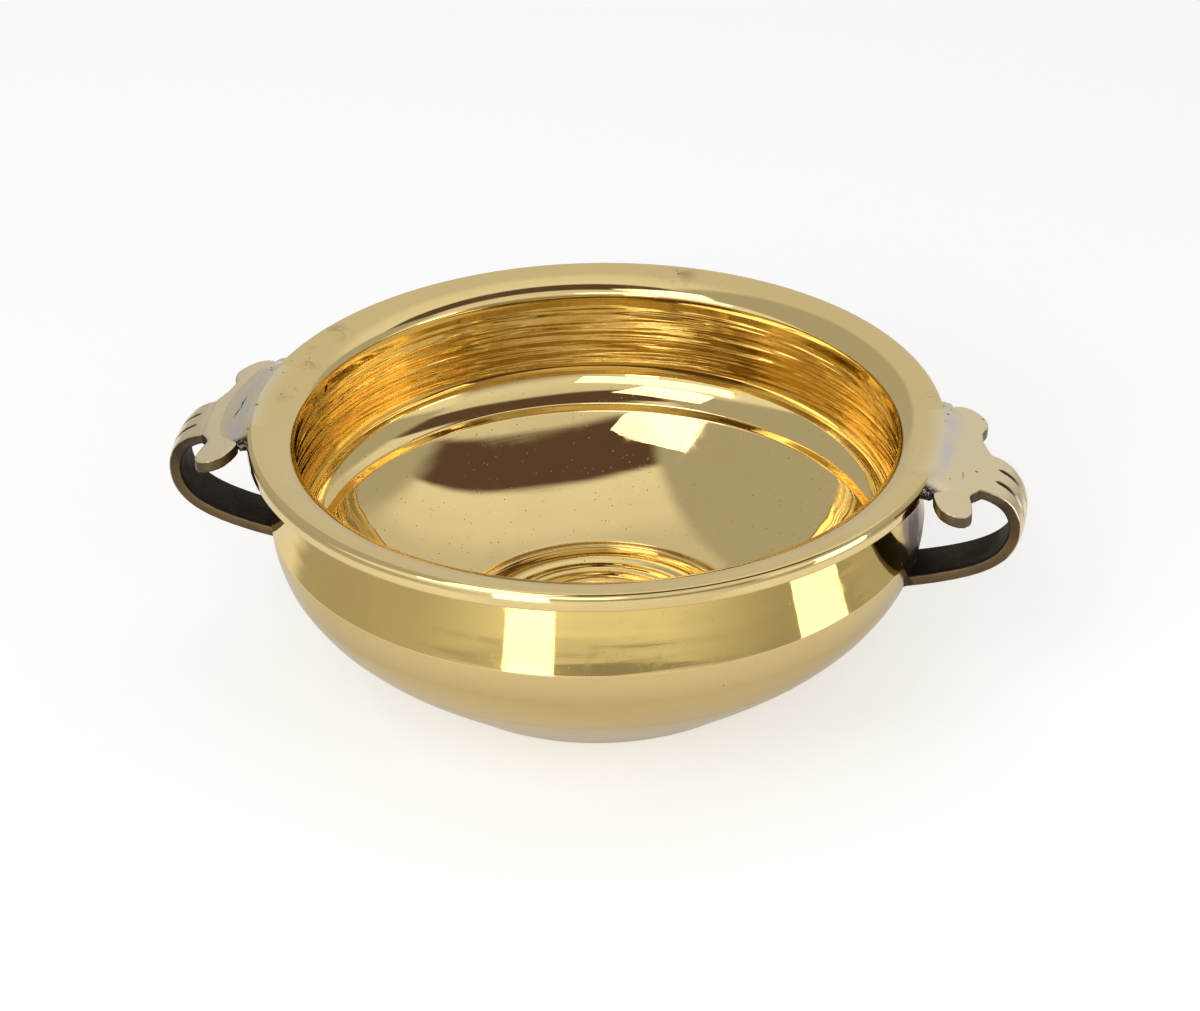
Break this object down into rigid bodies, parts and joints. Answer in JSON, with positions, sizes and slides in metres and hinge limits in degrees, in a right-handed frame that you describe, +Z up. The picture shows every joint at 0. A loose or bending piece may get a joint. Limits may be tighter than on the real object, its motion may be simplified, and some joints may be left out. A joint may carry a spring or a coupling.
{
  "type": "urli bowl",
  "caption": "Shallow round cast-brass bowl with a dished rim, a stepped turned inside and paired ear-and-strap handles brazed to it; holds water, petals or floating candles.",
  "frame": {"origin": "on the bowl's axis, in the plane that the foot stands on", "axes": "+Z up along the bowl's axis, +X through the right handle, +Y towards the back"},
  "size_m": [0.2478, 0.2, 0.076],
  "materials": {
    "polished_brass": "turned and polished, with fine lathe lines on the inner wall",
    "cast_brass": "cast, ground on top, dark patina inside the loop",
    "braze_filler": "ground flush, grey, with small pits",
    "dark_filler": "left as brazed, dark"
  },
  "bodies": {
    "root": {"bowl": "polished_brass", "right_handle": "cast_brass", "left_handle": "cast_brass", "right_rim_braze": "braze_filler", "left_rim_braze": "braze_filler", "right_foot_braze": "dark_filler", "left_foot_braze": "dark_filler"}
  },
  "joints": []
}
